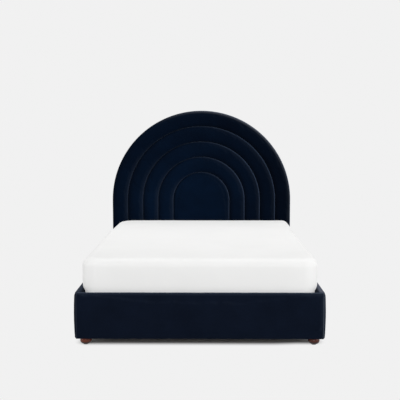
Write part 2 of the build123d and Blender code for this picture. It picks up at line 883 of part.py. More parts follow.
with BuildPart() as beam_screws:
    with Locations(*beam_screw_planes):
        Cylinder(screw_radius, short_screw_length, align=(Align.CENTER, Align.CENTER, Align.MAX))
        Cylinder(
            screw_head_radius, screw_head_height, align=(Align.CENTER, Align.CENTER, Align.MIN)
        )

save(wood_screws.part, "wood_screws")
save(beam_screws.part, "beam_screws")

# Mattress in its fitted sheet: drawn in at the bottom, swollen over the rails, rolled into a low crown
mattress_base = deck_z + soft_clearance
mattress_top = mattress_base + mattress_height
swell_z = rail_top + mattress_swell_lift
roll_z = mattress_top - mattress_top_radius
bottom_roll_shares = [(1, 0), (0.5, 0.13), (0.13, 0.5), (0, 1)]
swell_shares = [(0, 0), (0.4, 0.25), (0.8, 0.6), (1, 1)]
crown_shares = [(0.3, 0.8), (0.65, 1)]
top_roll_angles = [0, 20, 40, 60, 75, 90]
head_swell_share = 0.3
crown_corner_share = 0.4


def slab_sections(inset):
    """How far each level section stands out from the flat size, with its height."""
    roll = mattress_top_radius - inset
    rolled_in = mattress_swell - roll
    half_left = mattress_width / 2 + rolled_in
    return [
        *[
            (-mattress_bottom_radius * draw, mattress_base + inset + mattress_bottom_radius * rise)
            for draw, rise in bottom_roll_shares
        ],
        *[(mattress_swell * out, swell_z + mattress_swell_rise * rise) for out, rise in swell_shares],
        *[
            (mattress_swell - roll * (1 - cos(radians(angle))), roll_z + roll * sin(radians(angle)))
            for angle in top_roll_angles
        ],
        *[
            (rolled_in - half_left * inward, mattress_top - inset + mattress_crown * rise)
            for inward, rise in crown_shares
        ],
    ]


def slab(inset):
    """Mattress form shrunk by inset, lofted through its level sections."""
    with BuildPart(mode=Mode.PRIVATE) as body:
        for out, z in slab_sections(inset):
            head_out = out * head_swell_share if out > 0 else out
            middle = (mattress_foot_y + mattress_head_y + head_out - out) / 2
            width = mattress_width + 2 * (out - inset)
            length = mattress_length + out + head_out - 2 * inset
            corner = max(mattress_corner_radius + out - inset, mattress_corner_radius * crown_corner_share)
            with BuildSketch(Plane((0, middle, z))):
                RectangleRounded(width, length, corner)
        loft(ruled=True)
    return body.part


mattress_form = slab(sheet_thickness + soft_clearance)
sheet_inside = slab(sheet_thickness)

with BuildPart() as mattress:
    add(mattress_form)

with BuildPart() as fitted_sheet:
    add(slab(0))
    add(sheet_inside, mode=Mode.SUBTRACT)
    with Locations((0, (mattress_foot_y + mattress_head_y) / 2, mattress_base)):
        Box(
            mattress_width - 2 * sheet_hem,
            mattress_length - 2 * sheet_hem,
            2 * (sheet_thickness + cut_overrun),
            mode=Mode.SUBTRACT,
        )

save(mattress.part, "mattress")
save(fitted_sheet.part, "fitted_sheet")
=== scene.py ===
import math

import bmesh
import bpy
import numpy as np
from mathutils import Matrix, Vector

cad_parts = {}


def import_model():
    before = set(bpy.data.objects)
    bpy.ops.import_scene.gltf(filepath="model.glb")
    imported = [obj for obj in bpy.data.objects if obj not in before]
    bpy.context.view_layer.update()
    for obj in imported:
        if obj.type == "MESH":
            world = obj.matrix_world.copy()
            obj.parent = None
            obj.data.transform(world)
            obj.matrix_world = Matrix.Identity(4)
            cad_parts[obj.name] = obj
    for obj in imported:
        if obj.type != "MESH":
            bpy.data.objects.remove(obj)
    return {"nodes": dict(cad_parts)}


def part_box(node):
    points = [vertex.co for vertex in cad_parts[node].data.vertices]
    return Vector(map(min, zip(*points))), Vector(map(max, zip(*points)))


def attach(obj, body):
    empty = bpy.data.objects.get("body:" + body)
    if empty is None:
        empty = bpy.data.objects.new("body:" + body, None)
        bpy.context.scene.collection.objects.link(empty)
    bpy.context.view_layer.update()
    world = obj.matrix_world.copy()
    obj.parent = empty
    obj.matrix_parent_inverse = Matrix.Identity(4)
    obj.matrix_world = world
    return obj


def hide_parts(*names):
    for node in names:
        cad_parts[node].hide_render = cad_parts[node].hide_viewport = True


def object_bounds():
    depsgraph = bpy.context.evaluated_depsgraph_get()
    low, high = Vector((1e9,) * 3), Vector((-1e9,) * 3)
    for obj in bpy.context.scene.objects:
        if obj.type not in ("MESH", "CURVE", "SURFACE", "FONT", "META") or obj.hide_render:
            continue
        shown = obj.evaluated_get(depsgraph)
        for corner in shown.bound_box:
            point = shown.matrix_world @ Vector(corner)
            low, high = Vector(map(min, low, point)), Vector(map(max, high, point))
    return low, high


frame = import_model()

MM = 0.001
cad_box = [list(corner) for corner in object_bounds()]
nodes = frame["nodes"]


# Sizes read from the frame
cover_low, cover_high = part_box("headboard_cover")
border_low, border_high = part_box("headboard_border")
arch_radius = cover_high.x
arch_lift = 6 * MM
arch_z = cover_high.z - arch_radius + arch_lift
crown_y = cover_low.y
board_y = cover_high.y
channel_bottom = cover_low.z
back_y = border_high.y
border_bottom = border_low.z
frame_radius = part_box("headboard_front_board")[1].x

# Sewn channels: seam radii from the middle pad outwards, and the form of their padding
channel_count = 4
channel_width = 137 * MM
channel_radii = [arch_radius - n * channel_width for n in range(channel_count, -1, -1)]
channel_bands = list(zip([0.0] + channel_radii[:-1], channel_radii))
crown_drop = 9 * MM
flat_share = 0.7
shoulder_width = 24 * MM
shoulder_depth = 17 * MM

# Form of the padded footboard and side rails
rail_low, rail_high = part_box("side_rail_right_cover")
foot_low, foot_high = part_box("footboard_cover")
edge_radius = 13 * MM
face_inset = 3.2 * MM
face_crown = 5.2 * MM
rail_edge_radius = 9 * MM
rail_inset = 0.6 * MM
rail_crown = 2.8 * MM
hem_drop = 3.5 * MM
lip_drop = 7.5 * MM
lip_width = 16 * MM
lip_height = 40 * MM
seam_x = foot_high.x - 15 * MM
seam_height = 2.4 * MM
seam_width = 2.6 * MM
turn_width = 38 * MM
turn_depth = 7 * MM
roll_width = 19 * MM
roll_depth = 15 * MM

# Steps of the swept pieces and of the rings round the mattress
leg_steps = 44
arc_steps = 190
band_steps = 30
across_steps = 40
along_steps = 52
bend_steps = 14

# Thickness of the cloths, and how far the foam stays inside the velvet
velvet_thickness = 1.2 * MM
dust_cover_thickness = 0.4 * MM
cotton_thickness = 0.5 * MM
foam_gap = 2.4 * MM

# Waves in the soft pieces: height, and wavelengths in metres
channel_waves = (0.5 * MM, [0.09, 0.13, 0.19, 0.27])
stitch_waves = (0.9 * MM, [0.021, 0.034, 0.047, 0.071])
lower_pad_waves = (0.4 * MM, [0.08, 0.15, 0.22])
dust_cover_waves = (1.2 * MM, [0.3, 0.42, 0.55])
dust_cover_pulls = (0.35 * MM, [0.04, 0.055])
footboard_waves = (0.45 * MM, [0.11, 0.17, 0.26, 0.4])
footboard_top_waves = (0.5 * MM, [0.05, 0.083, 0.14])
side_rail_waves = (0.45 * MM, [0.12, 0.18, 0.27, 0.41])
rail_foam_waves = (0.2 * MM, [0.2, 0.3])
sheet_top_waves = (1.1 * MM, [0.2, 0.31, 0.44, 0.7])
sheet_side_waves = (0.8 * MM, [0.12, 0.2, 0.33])


# Mesh helpers
box_faces = [(0, 1, 3, 2), (4, 6, 7, 5), (0, 4, 5, 1), (2, 3, 7, 6), (0, 2, 6, 4), (1, 5, 7, 3)]


def add_object(name, points, faces):
    """New smooth mesh object from points and faces."""
    mesh = bpy.data.meshes.new(name)
    mesh.from_pydata([tuple(p) for p in points], [], faces)
    mesh.validate()
    mesh.polygons.foreach_set("use_smooth", [True] * len(mesh.polygons))
    piece = bpy.data.objects.new(name, mesh)
    bpy.context.scene.collection.objects.link(piece)
    return piece


def grid_faces(rows, columns, closed=False):
    """Quads of a grid of points, closed across its columns where asked."""
    last = columns if closed else columns - 1
    return [
        (
            r * columns + c,
            r * columns + (c + 1) % columns,
            (r + 1) * columns + (c + 1) % columns,
            (r + 1) * columns + c,
        )
        for r in range(rows - 1)
        for c in range(last)
    ]


def end_caps(rows, columns):
    """Faces over the first and the last row of a closed grid."""
    return [tuple(range(columns))[::-1], tuple((rows - 1) * columns + c for c in range(columns))]


def shifted(faces, start):
    """The same faces over points that begin at start."""
    return [tuple(start + index for index in face) for face in faces]


def merge(piece, distance=1e-5):
    """Joins points that coincide and turns all faces outwards."""
    work = bmesh.new()
    work.from_mesh(piece.data)
    bmesh.ops.remove_doubles(work, verts=work.verts, dist=distance)
    bmesh.ops.recalc_face_normals(work, faces=work.faces)
    work.to_mesh(piece.data)
    work.free()
    return piece


def thicken(piece, thickness):
    """Gives an open sheet its thickness, half of it on each side."""
    solidify = piece.modifiers.new("thickness", "SOLIDIFY")
    solidify.thickness = thickness
    solidify.offset = 0


def ripple(u, v, waves, seed):
    """Smooth irregular waves over two coordinates, in metres."""
    height, wavelengths = waves
    random = np.random.default_rng(seed)
    total = np.zeros(np.broadcast(u, v).shape)
    for wavelength in wavelengths:
        turn = random.uniform(0, 2 * np.pi)
        phase = random.uniform(0, 2 * np.pi)
        along = (u * np.cos(turn) + v * np.sin(turn)) / wavelength
        across = (v * np.cos(turn) - u * np.sin(turn)) / wavelength
        total += np.sin(2 * np.pi * along + phase) * np.cos(np.pi * across + phase * 2)
    return height * total / len(wavelengths)


def simulated(piece, held, pressure, slack, cap):
    """Blows a sheet up as cloth that is sewn down at the held points, and keeps the result.

    slack is the share by which the cloth is larger than its shape, cap how far a point may
    move out. The foam below hardly lets it move in.
    """
    steps = 20
    sink = 0.3 * MM
    sideways_share = 0.2
    start = np.array([vertex.co for vertex in piece.data.vertices])
    normal = np.array([vertex.normal for vertex in piece.data.vertices])
    group = piece.vertex_groups.new(name="held")
    group.add([int(index) for index in np.flatnonzero(held(start))], 1.0, "REPLACE")
    cloth = piece.modifiers.new("cloth", "CLOTH")
    values = cloth.settings
    values.quality = 6
    values.mass = 0.3
    values.tension_stiffness = values.compression_stiffness = 20
    values.shear_stiffness = 8
    values.bending_stiffness = 0.6
    values.vertex_group_mass = group.name
    values.use_pressure = True
    values.uniform_pressure_force = pressure
    values.shrink_min = -slack
    values.effector_weights.gravity = 0
    cloth.collision_settings.use_collision = False
    cloth.point_cache.frame_start, cloth.point_cache.frame_end = 1, steps
    for frame_number in range(1, steps + 1):
        bpy.context.scene.frame_set(frame_number)
    final = piece.evaluated_get(bpy.context.evaluated_depsgraph_get()).data
    move = np.array([vertex.co for vertex in final.vertices]) - start
    piece.modifiers.remove(cloth)
    piece.vertex_groups.remove(group)
    bpy.context.scene.frame_set(1)
    out = (move * normal).sum(axis=1, keepdims=True)
    along = (move - out * normal) * sideways_share
    out = np.where(out > 0, cap * np.tanh(out / cap), sink * np.tanh(out / MM))
    piece.data.vertices.foreach_set("co", (start + out * normal + along).ravel())
    piece.data.update()


# Arch helpers
def arch_path(bottom, legs, arc):
    """Stations from the left leg's foot over the arch: side, rise and fall of each, with its run."""
    drop = np.linspace(bottom - arch_z, 0, legs)[:-1]
    turn = np.linspace(np.pi, 0, arc)
    side = np.concatenate([-np.ones(legs - 1), np.cos(turn), np.ones(legs - 1)])
    rise = np.concatenate([np.zeros(legs - 1), np.sin(turn), np.zeros(legs - 1)])
    fall = np.concatenate([drop, np.zeros(arc), drop[::-1]])
    run = np.concatenate([drop, (np.pi - turn) * arch_radius, np.pi * arch_radius - drop[::-1]])
    return side, rise, fall, run


def sweep_arch(name, radii, depths, bottom, lift=None, closed=False, steps=(leg_steps, arc_steps)):
    """Runs a profile of radii and depths (y) over the arch, as a closed body where asked."""
    side, rise, fall, run = arch_path(bottom, *steps)
    radii, depths = np.asarray(radii), np.asarray(depths)
    x = side[:, None] * radii[None, :]
    z = arch_z + rise[:, None] * radii[None, :] + fall[:, None]
    y = np.repeat(depths[None, :], len(side), axis=0)
    if lift is not None:
        y = y - lift(x, z, radii[None, :], run[:, None])
    points = np.stack([x, y, z], axis=-1).reshape(-1, 3)
    rows, columns = len(side), len(radii)
    faces = grid_faces(rows, columns, closed)
    if closed:
        faces += end_caps(rows, columns)
    return merge(add_object(name, points, faces))


def eased(steps):
    """Shares from 0 to 1, closer together at both ends."""
    return (1 - np.cos(np.linspace(0, np.pi, steps + 1))) / 2


def channel_depth(radius, low, high, inset=0.0):
    """How far the padding falls back from its crown at a radius between two seams."""
    middle = (low + high) / 2 if low > 0 else 0
    gaps = [high - inset - radius] + ([radius - low - inset] if low > 0 else [])
    shoulder = shoulder_width - inset
    depth = inset + crown_drop * ((radius - middle) / (high - middle)) ** 2
    for gap in gaps:
        share = 1 - np.clip(gap / shoulder, 0, 1)
        depth = depth + (shoulder_depth - inset / 2) * (1 - np.sqrt(np.clip(1 - share**2, 0, 1)))
    return depth


def pucker(x, z, radii, run):
    """Small gathers that the stitches pull in beside each seam, and slow waves of the foam."""
    reach = 13 * MM
    total = ripple(x, z, channel_waves, 3)
    for n, seam in enumerate(channel_radii[:-1]):
        near = np.exp(-np.abs(radii - seam) / reach)
        length = run * seam / arch_radius
        total = total + near * ripple(length, 0 * length, stitch_waves, 20 + n)
    return total


# Soft box helper
def box_lines(low, high, radius, steps, extra):
    """Grid lines along one axis: rounded ends, even middle, and extra ones beside a seam."""
    ends = radius * np.tan(np.linspace(0, np.pi / 4, 6))
    middle = np.linspace(low + radius, high - radius, steps + 1)
    lines = np.concatenate([low + radius - ends[::-1], middle, high - radius + ends, extra])
    return np.unique(np.round(lines, 6))


def soft_box(name, low, high, radius, steps, shape, extra=((), (), ())):
    """Closed box with round edges; shape() says how far each point then moves."""
    low, high = np.array(low), np.array(high)
    lines = [box_lines(low[k], high[k], radius, steps[k], extra[k]) for k in range(3)]
    points, faces = [], []
    for axis in range(3):
        u, v = [k for k in range(3) if k != axis]
        for end in (low[axis], high[axis]):
            grid_u, grid_v = np.meshgrid(lines[u], lines[v], indexing="ij")
            face = np.zeros(grid_u.shape + (3,))
            face[..., u], face[..., v], face[..., axis] = grid_u, grid_v, end
            start = len(points)
            points.extend(face.reshape(-1, 3))
            faces.extend(shifted(grid_faces(*grid_u.shape), start))
    points = np.array(points)
    inner = np.clip(points, low + radius, high - radius)
    normal = points - inner
    normal /= np.linalg.norm(normal, axis=1, keepdims=True)
    points = inner + radius * normal
    points = points + shape(points, normal)
    return merge(add_object(name, points, faces), 2e-5)


# Ring helper for the mattress and its sheet
def ring(half_width, half_length, corners, middle):
    """Points round a level rounded rectangle, anticlockwise from its front left corner's end.

    corners are its radii at the front right, back right, back left and front left.
    """
    corners = [min(corner, half_width, half_length) for corner in corners]
    hands = [(1, -1), (1, 1), (-1, 1), (-1, -1)]
    points = []
    for n, (corner, (side, end)) in enumerate(zip(corners, hands)):
        last, (last_side, last_end) = corners[n - 1], hands[n - 1]
        turn = math.radians(90 * (n - 1))
        out = np.array([math.cos(turn), math.sin(turn)])
        last_centre = np.array([last_side * (half_width - last), last_end * (half_length - last)])
        centre = np.array([side * (half_width - corner), end * (half_length - corner)])
        start, stop = last_centre + out * last, centre + out * corner
        count = across_steps if n % 2 == 0 else along_steps
        for share in np.linspace(0, 1, count, endpoint=False):
            points.append(start + (stop - start) * share)
        for share in np.linspace(0, 1, bend_steps, endpoint=False):
            angle = turn + share * math.pi / 2
            points.append(centre + corner * np.array([math.cos(angle), math.sin(angle)]))
    points = np.array(points)
    points[:, 1] += middle
    return points


# Material helpers
def material(name, **values):
    """New node material; values are set on the shader's own sockets."""
    made = bpy.data.materials.new(name)
    made.use_nodes = True
    shader = made.node_tree.nodes["Principled BSDF"]
    for socket, value in values.items():
        shader.inputs[socket.replace("_", " ")].default_value = value
    return made, made.node_tree, shader


def add_node(tree, kind, inputs=None, **settings):
    """New node with its settings; each input is a value, or a socket that is linked to it."""
    made = tree.nodes.new(kind)
    for key, value in settings.items():
        setattr(made, key, value)
    for key, value in (inputs or {}).items():
        if isinstance(value, bpy.types.NodeSocket):
            tree.links.new(value, made.inputs[key])
        else:
            made.inputs[key].default_value = value
    return made


def place(tree, scale=(1, 1, 1)):
    """Coordinates of the piece in metres, stretched by scale."""
    source = add_node(tree, "ShaderNodeTexCoord").outputs
    inputs = {"Vector": source["Object"], "Scale": scale}
    return add_node(tree, "ShaderNodeMapping", inputs).outputs["Vector"]


def axes(tree, vector):
    """Outputs X, Y and Z of a vector."""
    return add_node(tree, "ShaderNodeSeparateXYZ", {0: vector}).outputs


def grain(tree, vector, scale, detail=3.0, roughness=0.55, distortion=0.0):
    """Noise over the given coordinates."""
    inputs = {"Vector": vector, "Scale": scale, "Detail": detail}
    inputs.update({"Roughness": roughness, "Distortion": distortion})
    return add_node(tree, "ShaderNodeTexNoise", inputs).outputs["Fac"]


def cells(tree, vector, scale):
    """Distance from the middle of the nearest of many small cells."""
    made = add_node(tree, "ShaderNodeTexVoronoi", {"Vector": vector, "Scale": scale})
    return made.outputs["Distance"]


def stripes(tree, vector, direction, inputs, profile="SIN"):
    """Even stripes across one axis, X, Y or Z."""
    made = add_node(
        tree,
        "ShaderNodeTexWave",
        {"Vector": vector, **inputs},
        bands_direction=direction,
        wave_profile=profile,
    )
    return made.outputs["Fac"]


def mapped(tree, value, source_range, target_range=(0.0, 1.0), interpolation="LINEAR"):
    """A value carried over from one range to another."""
    inputs = {"Value": value}
    inputs.update(zip(("From Min", "From Max", "To Min", "To Max"), (*source_range, *target_range)))
    return add_node(tree, "ShaderNodeMapRange", inputs, interpolation_type=interpolation).outputs[0]


def value_math(tree, operation, *values):
    """One operation on value sockets or numbers."""
    return add_node(tree, "ShaderNodeMath", dict(enumerate(values)), operation=operation).outputs[0]


def product(tree, first, *others):
    """Product of value sockets."""
    for other in others:
        first = value_math(tree, "MULTIPLY", first, other)
    return first


def vector_math(tree, operation, *values):
    """One operation on vector sockets or tuples."""
    made = add_node(tree, "ShaderNodeVectorMath", dict(enumerate(values)), operation=operation)
    gives_value = operation in ("DOT_PRODUCT", "LENGTH", "DISTANCE")
    return made.outputs["Value" if gives_value else "Vector"]


def scaled(colour, factor):
    """Colour made lighter or darker."""
    return tuple(channel * factor for channel in colour)


def tint(tree, factor, stops):
    """Colour ramp over a factor; stops are (position, colour)."""
    ramp = add_node(tree, "ShaderNodeValToRGB", {"Fac": factor})
    elements = ramp.color_ramp.elements
    while len(elements) < len(stops):
        elements.new(0.5)
    for element, (position, colour) in zip(elements, stops):
        element.position = position
        element.color = (*colour, 1)
    return ramp.outputs["Color"]


def grey(tree, factor, stops):
    """Grey ramp over a factor; stops are (position, level)."""
    return tint(tree, factor, [(position, (level,) * 3) for position, level in stops])


def blend_colours(tree, factor, first, second, mode="MIX"):
    """Mix of two colour sockets or values."""
    inputs = {0: factor, 6: first, 7: second}
    return add_node(tree, "ShaderNodeMix", inputs, data_type="RGBA", blend_type=mode).outputs[2]


def multiplied(tree, first, second):
    """Product of two colours."""
    return blend_colours(tree, 1.0, first, second, "MULTIPLY")


def colour_in(tree, shader, colour):
    """Leads a colour into the shader."""
    tree.links.new(colour, shader.inputs["Base Color"])


def relief(tree, shader, height, strength, distance, below=None):
    """Bump from a height socket, on top of another bump where given."""
    inputs = {"Height": height, "Strength": strength, "Distance": distance}
    if below is not None:
        inputs["Normal"] = below
    bump = add_node(tree, "ShaderNodeBump", inputs)
    tree.links.new(bump.outputs["Normal"], shader.inputs["Normal"])
    return bump.outputs["Normal"]


# Materials
def seam_highlight(tree, source):
    """Painted highlight beside each seam, on the flanks that face the upper right, where light from there
    would fall.
    """
    upper_right = (0.94, 0, 0.34)
    steep = mapped(tree, axes(tree, source["Normal"])["Y"], (-0.84, -0.5))
    level = vector_math(tree, "MULTIPLY", source["Normal"], (1, 0, 1))
    facing = vector_math(tree, "DOT_PRODUCT", vector_math(tree, "NORMALIZE", level), upper_right)
    # Painted light: the seam highlight is weaker towards the left of the headboard.
    brushed_and_lit = mapped(tree, axes(tree, source["Object"])["X"], (-0.35, 0.25), (0.32, 1.0))
    return product(tree, steep, mapped(tree, facing, (-0.15, 1.1)), brushed_and_lit)


def arch_rim(tree, source):
    """Painted highlight where the velvet bends over the arch's outer edge at the upper right, where light
    from above and the right would catch it.
    """
    upper_right = (0.6, 0, 0.8)
    offset = vector_math(tree, "SUBTRACT", source["Object"], (0, crown_y, arch_z))
    # Painted highlight on the outer 25 mm of the arch, facing up and to the right.
    rim = mapped(tree, vector_math(tree, "LENGTH", offset), (arch_radius - 25 * MM, arch_radius))
    facing = vector_math(tree, "DOT_PRODUCT", vector_math(tree, "NORMALIZE", offset), upper_right)
    return product(tree, rim, mapped(tree, facing, (0.35, 1.02), (0.0, 0.62)))


def corner_seam_highlight(tree, source):
    """Painted highlight along the seam beside each front corner of the footboard, where light from the
    right would catch the seam.
    """
    across = axes(tree, source["Object"])["X"]
    apart = value_math(tree, "SUBTRACT", value_math(tree, "ABSOLUTE", across), seam_x + 1 * MM)
    line = mapped(tree, value_math(tree, "ABSOLUTE", apart), (2 * MM, 4.5 * MM), (1.0, 0.0))
    front = mapped(tree, axes(tree, source["Normal"])["Y"], (-0.6, -0.3), (1.0, 0.0))
    # Stronger at the right corner than at the left: painted light from the right.
    return product(tree, line, front, mapped(tree, across, (-0.7, 0.7), (0.16, 0.62)))


def velvet(name, navy, painted_light_from, shades, lights, edge=None, line=seam_highlight, outer_shade=None, rail=False):
    """Dark navy cotton velvet: short pile, patches of brushing, painted light and shade by its turn.

    The second argument is the direction the painted light comes from; on the rails its first
    share is mirrored to point outwards. shades and lights are stops over the turn of the surface
    towards it: how much of the navy stays (painted shade), and how much of the lighter colour
    shows (painted light). edge is the colour of a painted highlight, and line says where it
    shows. outer_shade is painted shade towards the arch's rim, whose own bend gets a painted
    highlight.
    """
    made, tree, shader = material(
        name,
        Roughness=0.9,
        Sheen_Weight=0.4 if rail else 0.7,
        Sheen_Roughness=0.28,
        Sheen_Tint=(0.24, 0.3, 0.42, 1),
        Specular_IOR_Level=0.03,
    )
    vector = place(tree)
    pile = grain(tree, place(tree, (1, 1, 0.45)), 620, 2.0)
    patches = [(0.3, scaled(navy, 0.88)), (0.7, scaled(navy, 1.15))]
    base = tint(tree, grain(tree, vector, 5.5, 2.0), patches)
    colour = multiplied(tree, base, grey(tree, pile, [(0.3, 0.7), (0.7, 1.3)]))
    source = add_node(tree, "ShaderNodeTexCoord").outputs
    normal = source["Normal"]
    # Lighter colour that the painted light blends in.
    pale = (0.027, 0.036, 0.055, 1)
    # On the rails the painted light comes from outwards on each side, and the lighter colour grows towards
    # the right rail: painted light from the right.
    if rail:
        across = axes(tree, source["Object"])["X"]
        right = mapped(tree, across, (-0.8, 0.8))
        pale = blend_colours(tree, right, (0.014, 0.018, 0.028, 1), (0.22, 0.225, 0.27, 1))
        hand = value_math(tree, "SIGN", across)
        outward = add_node(tree, "ShaderNodeCombineXYZ", {"X": hand, "Y": 1.0, "Z": 1.0})
        normal = vector_math(tree, "MULTIPLY", normal, outward.outputs[0])
    turn = mapped(tree, vector_math(tree, "DOT_PRODUCT", normal, painted_light_from), (-1.0, 1.0))
    # Painted shade where the surface turns away from the painted light.
    colour = multiplied(tree, colour, grey(tree, turn, shades))
    # Painted shade towards the arch's rim.
    if outer_shade:
        away = vector_math(tree, "DISTANCE", source["Object"], (-0.2, crown_y, arch_z))
        outer = mapped(tree, away, (channel_radii[0], arch_radius + 0.2))
        colour = multiplied(tree, colour, grey(tree, outer, [(0.0, 1.0), (1.0, outer_shade)]))
    # Painted light where the surface turns towards it.
    colour = blend_colours(tree, grey(tree, turn, lights), colour, pale)
    # Painted highlight beside the seams.
    if edge:
        colour = blend_colours(tree, line(tree, source), colour, (*edge, 1))
    # Painted highlight on the arch's rim.
    if outer_shade:
        colour = blend_colours(tree, arch_rim(tree, source), colour, (0.062, 0.068, 0.08, 1))
    colour_in(tree, shader, colour)
    brushed_and_lit = relief(tree, shader, grain(tree, vector, 60, 3.0), 0.12, 0.002)
    relief(tree, shader, pile, 0.3, 0.0006, brushed_and_lit)
    return made


def cotton():
    """White percale: fine even weave and a trace of slack."""
    white = (0.8, 0.8, 0.795)
    made, tree, shader = material(
        "white_cotton", Roughness=0.85, Sheen_Weight=0.15, Sheen_Roughness=0.5, Specular_IOR_Level=0.25
    )
    vector = place(tree)
    cloud = [(0.3, scaled(white, 0.985)), (0.7, scaled(white, 1.01))]
    colour_in(tree, shader, tint(tree, grain(tree, vector, 3.0, 2.0), cloud))
    threads = [stripes(tree, vector, way, {"Scale": 420.0, "Distortion": 0.6}) for way in "XY"]
    slack = relief(tree, shader, grain(tree, vector, 14, 3.0), 0.06, 0.004)
    relief(tree, shader, product(tree, *threads), 0.12, 0.0003, slack)
    return made


def ticking():
    """Off-white knitted ticking with a soft sewn pattern."""
    cream = (0.74, 0.72, 0.67)
    made, tree, shader = material("knitted_ticking", Roughness=0.9, Sheen_Weight=0.2)
    knit = cells(tree, place(tree), 260.0)
    colour_in(tree, shader, tint(tree, knit, [(0.0, scaled(cream, 1.05)), (0.7, scaled(cream, 0.88))]))
    relief(tree, shader, knit, 0.3, 0.0008)
    return made


def foam():
    """Open-cell upholstery foam."""
    yellow = (0.62, 0.54, 0.34)
    made, tree, shader = material("open_cell_foam", Roughness=0.95, Specular_IOR_Level=0.1)
    vector = place(tree)
    pores = cells(tree, vector, 700.0)
    age = [(0.3, scaled(yellow, 0.9)), (0.7, scaled(yellow, 1.08))]
    base = tint(tree, grain(tree, vector, 8, 2.0), age)
    colour_in(tree, shader, multiplied(tree, base, grey(tree, pores, [(0.1, 0.75), (0.5, 1.05)])))
    relief(tree, shader, pores, 0.5, 0.001)
    return made


def wood(name, light, dark, along, rings, stretch=0.06, gloss=0.5, relief_depth=0.0004, **values):
    """Wood with its grain along one axis, 0 to 2."""
    made, tree, shader = material(name, Roughness=gloss, **values)
    scale = [1.0, 1.0, 1.0]
    scale[along] = stretch
    vector = place(tree, tuple(scale))
    bands = grain(tree, vector, rings, 4.0, 0.6, 0.6)
    fibres = grain(tree, vector, rings * 14, 2.0)
    base = tint(tree, bands, [(0.3, dark), (0.52, light), (0.75, scaled(light, 0.86))])
    lines = tint(tree, fibres, [(0.3, (0.86, 0.84, 0.8)), (0.65, (1.04, 1.04, 1.04))])
    colour_in(tree, shader, multiplied(tree, base, lines))
    relief(tree, shader, fibres, 0.25, relief_depth)
    return made


def plywood(thick):
    """Birch plywood whose plies lie across one axis, 0 to 2."""
    made, tree, shader = material(f"plywood_{'xyz'[thick]}", Roughness=0.6)
    bands = {"Scale": 66.0, "Distortion": 0.15, "Detail": 1.0}
    plies = stripes(tree, place(tree), "XYZ"[thick], bands, "TRI")
    layer = tint(tree, plies, [(0.35, (0.33, 0.2, 0.1)), (0.6, (0.62, 0.45, 0.27))])
    figure = grain(tree, place(tree, (4, 4, 0.5)), 12, 4.0, 0.6, 0.5)
    face = tint(tree, figure, [(0.3, (0.8, 0.78, 0.75)), (0.7, (1.08, 1.06, 1.04))])
    colour_in(tree, shader, multiplied(tree, layer, face))
    relief(tree, shader, figure, 0.15, 0.0005)
    return made


def stained_wood():
    """Turned foot: dark red-brown stained wood under gloss lacquer, with painted shade underneath, and
    darker towards the right.
    """
    made = wood(
        "stained_gloss_wood",
        (0.135, 0.021, 0.0035),
        (0.043, 0.006, 0.0015),
        2,
        rings=60,
        stretch=0.2,
        gloss=0.4,
        relief_depth=0.00015,
        Coat_Weight=0.42,
        Coat_Roughness=0.12,
        Specular_IOR_Level=0.1,
    )
    tree = made.node_tree
    shader = tree.nodes["Principled BSDF"]
    grained = shader.inputs["Base Color"].links[0].from_socket
    source = add_node(tree, "ShaderNodeTexCoord").outputs
    # Painted shade on the underside of the foot, which faces the floor.
    under = mapped(tree, axes(tree, source["Normal"])["Z"], (-0.6, 0.1), (0.1, 1.0))
    # Darker towards the right.
    darker_to_right = mapped(tree, axes(tree, source["Object"])["X"], (-0.75, 0.75), (1.1, 0.6))
    colour_in(tree, shader, multiplied(tree, grained, product(tree, under, darker_to_right)))
    return made


def speckled(name, noise, stops, bump, **values):
    """Even material with a fine speckle in its colour and its surface."""
    made, tree, shader = material(name, **values)
    speckle = grain(tree, place(tree), *noise)
    colour_in(tree, shader, tint(tree, speckle, stops))
    relief(tree, shader, speckle, *bump)
    return made


def zinc():
    """Bright zinc plate with a faint bluish cast."""
    stops = [(0.3, (0.42, 0.43, 0.46)), (0.7, (0.62, 0.63, 0.66))]
    return speckled("zinc_plate", (180, 2.0), stops, (0.1, 0.0002), Metallic=1.0, Roughness=0.35)


def powder_coat():
    """Black powder coat with fine orange peel."""
    stops = [(0.3, (0.012, 0.012, 0.013)), (0.7, (0.022, 0.022, 0.024))]
    return speckled("black_powder_coat", (900, 2.0), stops, (0.2, 0.0003), Roughness=0.5)


def moulded_plastic():
    """Black moulded plastic, slightly scuffed."""
    stops = [(0.35, (0.014, 0.014, 0.015)), (0.75, (0.045, 0.045, 0.046))]
    return speckled("moulded_plastic", (240, 4.0, 0.7), stops, (0.15, 0.0003), Roughness=0.6)


def dust_cloth():
    """Thin black non-woven cloth."""
    stops = [(0.35, (0.006, 0.006, 0.0065)), (0.75, (0.028, 0.028, 0.03))]
    return speckled(
        "black_dust_cloth", (420, 4.0, 0.75), stops, (0.35, 0.0006), Roughness=0.95, Sheen_Weight=0.2
    )


# Direction the painted light and shade on the velvet comes from: the upper right.
painted_light_from = (0.92, -0.1, 0.3)
plain_navy = (0.0034, 0.0061, 0.0139)
